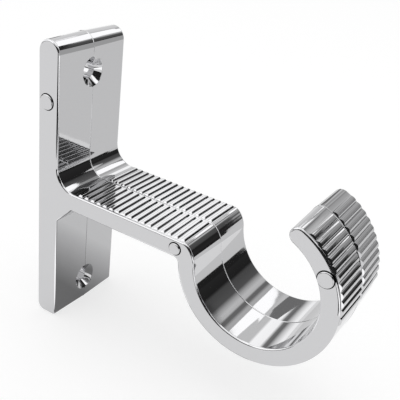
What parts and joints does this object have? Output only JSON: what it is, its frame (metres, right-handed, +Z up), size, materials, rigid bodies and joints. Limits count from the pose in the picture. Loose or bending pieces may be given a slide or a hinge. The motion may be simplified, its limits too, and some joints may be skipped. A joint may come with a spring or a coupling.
{
  "type": "curtain rod bracket",
  "caption": "One-piece chromed wall bracket for a curtain rod: a countersunk back plate, a ribbed arm and an open ring hook that cradles the rod.",
  "frame": {"origin": "on the wall face at mid width, midway between the two screw holes", "axes": "+X out from the wall, +Y along the rod, +Z up"},
  "size_m": [0.0826, 0.0244, 0.076],
  "materials": {
    "chrome": "polished chrome plate over a zinc casting"
  },
  "bodies": {
    "root": {"bracket": "chrome"}
  },
  "joints": []
}
